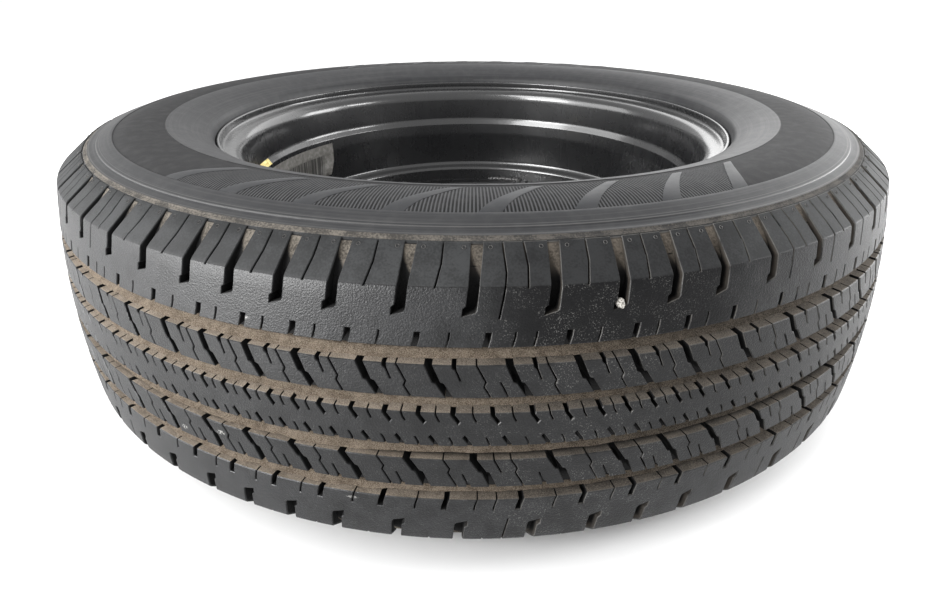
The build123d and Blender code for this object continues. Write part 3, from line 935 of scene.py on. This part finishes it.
# Welds: eight short beads in the corner between the skirt and the well, rippled and painted over.
weld_count = 8
weld_start = 71.1
weld_arc = 13.0
weld_radius = 196.9
weld_level = -41.2
weld_size = 2.5
weld_rungs = 52
weld_spokes = 10
weld_shape = bmesh.new()
for number in range(weld_count):
    rows = []
    for rung in range(weld_rungs + 1):
        share = rung / weld_rungs
        turn = math.radians(weld_start + 360 / weld_count * number + weld_arc * share)
        ripple = 0.22 * math.sin(rung * 1.25) + 0.5 * noise.noise(Vector((rung * 0.21, number * 3.7, 0)))
        swell = (weld_size + ripple) * min(1.0, 0.35 + 6 * min(share, 1 - share))
        row = []
        for spoke in range(weld_spokes):
            around = math.tau * spoke / weld_spokes
            reach = weld_radius + swell * math.cos(around)
            level = weld_level + swell * math.sin(around)
            row.append(weld_shape.verts.new((reach * math.cos(turn), reach * math.sin(turn), level)))
        rows.append(row)
    skin(weld_shape, rows)
bmesh.ops.recalc_face_normals(weld_shape, faces=weld_shape.faces[:])
weld_paint, tree, shader = two_tone(
    "weld_paint", 500, 6, (0.42, 0.7), (0.012, 0.012, 0.013), (0.11, 0.105, 0.1), 0.3, 0.35
)
bump = add_node(tree, "ShaderNodeBump", {"Height": grain(tree, 900, 4), "Distance": 0.0004, "Strength": 0.6})
tree.links.new(bump, shader["Normal"])
welds = make_piece("weld_beads", weld_shape, weld_paint, 60)
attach(welds, "wheel")
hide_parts("disc_welds")

# Label: a soiled grey sheet stuck on the ledge, printed with plain bars, its lower far corner curling off.
label_start = -126.0
label_arc = 34.0
label_low = -12.0
label_high = 26.0
label_radius = ledge_radius - 0.25
label_thickness = 0.15
curl_across = 3.2
curl_up = 1.7
curl_turn = 5.0
curl_rise = 6.0
curl_lift = 13.0
label_columns = 48
label_rows = 18
label_shape = bmesh.new()
print_layer = label_shape.loops.layers.uv.new("print")
grid = []
for column in range(label_columns + 1):
    grid.append([])
    for row in range(label_rows + 1):
        across = column / label_columns
        up = row / label_rows
        curl = max(0.0, 1 - math.hypot(across * curl_across, up * curl_up)) ** 2
        turn = math.radians(label_start + label_arc * across + curl_turn * curl)
        level = label_low + (label_high - label_low) * up + curl_rise * curl
        lean = max(0.0, level - lean_foot) / (lean_top - lean_foot) * lean_spread
        reach = label_radius + lean - curl_lift * curl
        grid[-1].append(label_shape.verts.new((reach * math.sin(turn), -reach * math.cos(turn), level)))
for column in range(label_columns):
    for row in range(label_rows):
        spots = [(column, row), (column + 1, row), (column + 1, row + 1), (column, row + 1)]
        face = label_shape.faces.new([grid[x][y] for x, y in spots])
        for loop, (x, y) in zip(face.loops, spots):
            loop[print_layer].uv = (x / label_columns, y / label_rows)
bmesh.ops.solidify(label_shape, geom=label_shape.faces[:], thickness=label_thickness)
label_film, tree, shader = new_material("label_film")
sheet = add_node(tree, "ShaderNodeUVMap", uv_map="print")
print_x, print_y = add_node(tree, "ShaderNodeSeparateXYZ", {0: sheet}).node.outputs[:2]
stripe = add_node(tree, "ShaderNodeTexNoise", {
    "Vector": add_node(tree, "ShaderNodeCombineXYZ", {0: print_x}), "Scale": 46.0, "Detail": 1.0})
bars = times(tree, ramp(tree, stripe, 0.47, 0.51), band(tree, print_x, 0.13, 0.66, 0.004))
bars = times(tree, bars, band(tree, print_y, 0.1, 0.68, 0.01))
tint = times(tree, band(tree, print_x, 0.12, 0.67, 0.01), band(tree, print_y, 0.08, 0.7, 0.02))
soil = ramp(tree, grain(tree, 240, 6), 0.35, 0.7)
paper = blend(tree, soil, (0.20, 0.19, 0.175, 1), (0.34, 0.33, 0.31, 1))
paper = blend(tree, times(tree, tint, 0.45), paper, (0.11, 0.108, 0.1, 1))
colour = blend(tree, times(tree, bars, 0.8), paper, (0.035, 0.034, 0.032, 1))
tree.links.new(colour, shader["Base Color"])
tree.links.new(plus(tree, 0.45, times(tree, soil, 0.3)), shader["Roughness"])
label = make_piece("rim_label", label_shape, label_film, 60)
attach(label, "wheel")
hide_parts("barcode_label")

# Paint mark: a dab of yellow on the step above the label, uneven and a little soiled.
yellow_paint = two_tone(
    "yellow_paint", 380, 5, (0.35, 0.68), (0.55, 0.42, 0.10), (0.86, 0.76, 0.34), 0.6, -0.2
)[0]
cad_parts["yellow_mark"].data.materials[0] = yellow_paint

# Valve: rubber body and seals, brass stem and core, black plastic cap.
valve_rubber = two_tone(
    "valve_rubber", 700, 5, (0.35, 0.7), (0.010, 0.010, 0.0105), (0.034, 0.033, 0.032), 0.6, 0.25
)[0]
brass, tree, shader = two_tone("brass", 900, 6, (0.4, 0.7), (0.71, 0.50, 0.20), (0.34, 0.23, 0.10), 0.22, 0.3)
shader["Metallic"].default_value = 1.0
cap_plastic = two_tone(
    "cap_plastic", 600, 5, (0.38, 0.7), (0.009, 0.009, 0.0095), (0.030, 0.030, 0.031), 0.38, 0.25
)[0]
valve_finish = {
    "valve_body": valve_rubber, "core_seal": valve_rubber, "cap_gasket": valve_rubber, "valve_stem": brass,
    "valve_core": brass, "core_pin": brass, "valve_cap": cap_plastic,
}
for name, finish in valve_finish.items():
    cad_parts[name].data.materials[0] = finish

# Stage: a pale floor under the wheel, a white surround and soft boxes, seen by the camera of the photograph.
# Two of the boxes add gloss alone, one to the tyre and one to the painted steel.
floor_reach = 6.0
surround_strength = 1.05
floor_mesh = bpy.data.meshes.new("floor")
floor_shape = bmesh.new()
bmesh.ops.create_grid(floor_shape, x_segments=1, y_segments=1, size=floor_reach)
bmesh.ops.translate(floor_shape, verts=floor_shape.verts[:], vec=(0, 0, -tyre_half_width * metres))
floor_shape.to_mesh(floor_mesh)
floor_shape.free()
floor_paint = bpy.data.materials.new("floor_paint")
floor_paint.use_nodes = True
floor_paint.node_tree.nodes["Principled BSDF"].inputs["Base Color"].default_value = (0.97, 0.97, 0.97, 1)
floor_mesh.materials.append(floor_paint)
floor = bpy.data.objects.new("floor", floor_mesh)
bpy.context.scene.collection.objects.link(floor)

world = bpy.data.worlds.new("surround")
world.use_nodes = True
world.node_tree.nodes["Background"].inputs["Color"].default_value = (1, 1, 1, 1)
world.node_tree.nodes["Background"].inputs["Strength"].default_value = surround_strength
bpy.context.scene.world = world
bpy.context.scene.view_settings.view_transform = "Standard"


def soft_light(name, azimuth, elevation, distance, width, height, power):
    """A soft box aimed at the wheel; the azimuth counts from the camera's side to the right."""
    data = bpy.data.lights.new(name, "AREA")
    data.shape = "RECTANGLE"
    data.size = width
    data.size_y = height
    data.energy = power
    lamp = bpy.data.objects.new(name, data)
    turn = math.radians(azimuth)
    rise = math.radians(elevation)
    lamp.location = Vector(
        (math.sin(turn) * math.cos(rise), -math.cos(turn) * math.cos(rise), math.sin(rise))) * distance
    lamp.rotation_euler = (-lamp.location).to_track_quat("-Z", "Y").to_euler()
    bpy.context.scene.collection.objects.link(lamp)
    return lamp


soft_light("left_box", -80, 21, 1.7, 1.6, 1.2, 30)
soft_light("front_left_box", -46, 26, 1.9, 0.7, 0.2, 15)
soft_light("right_box", 78, 26, 1.8, 0.5, 0.26, 9)
soft_light("back_right_box", 150, 24, 1.8, 1.7, 1.3, 13)
soft_light("right_flank_box", 104, 14, 1.6, 0.7, 0.7, 20)
sheen_box = soft_light("sheen_box", -45, 5, 1.6, 0.8, 0.7, 105)
sheen_box.visible_diffuse = False
rubber_only = bpy.data.collections.new("rubber_only")
rubber_only.objects.link(tyre)
sheen_box.light_linking.receiver_collection = rubber_only
gloss_box = soft_light("gloss_box", -50, 40, 1.9, 0.9, 1.5, 58)
gloss_box.visible_diffuse = False
painted = bpy.data.collections.new("painted_steel")
for piece in (rim, disc, welds):
    painted.objects.link(piece)
gloss_box.light_linking.receiver_collection = painted

camera_elevation = math.radians(19.07)
camera_distance = 0.6470
camera_data = bpy.data.cameras.new("camera")
camera_data.sensor_width = 36.0
camera_data.lens = 23.954
camera_data.shift_x = 0.00095
camera_data.shift_y = -0.10538
camera_data.clip_start = 0.01
camera = bpy.data.objects.new("camera", camera_data)
eye = Vector((0, -math.cos(camera_elevation), math.sin(camera_elevation))) * camera_distance
camera.location = eye
camera.rotation_euler = (-eye).to_track_quat("-Z", "Y").to_euler()
bpy.context.scene.collection.objects.link(camera)
bpy.context.scene.camera = camera
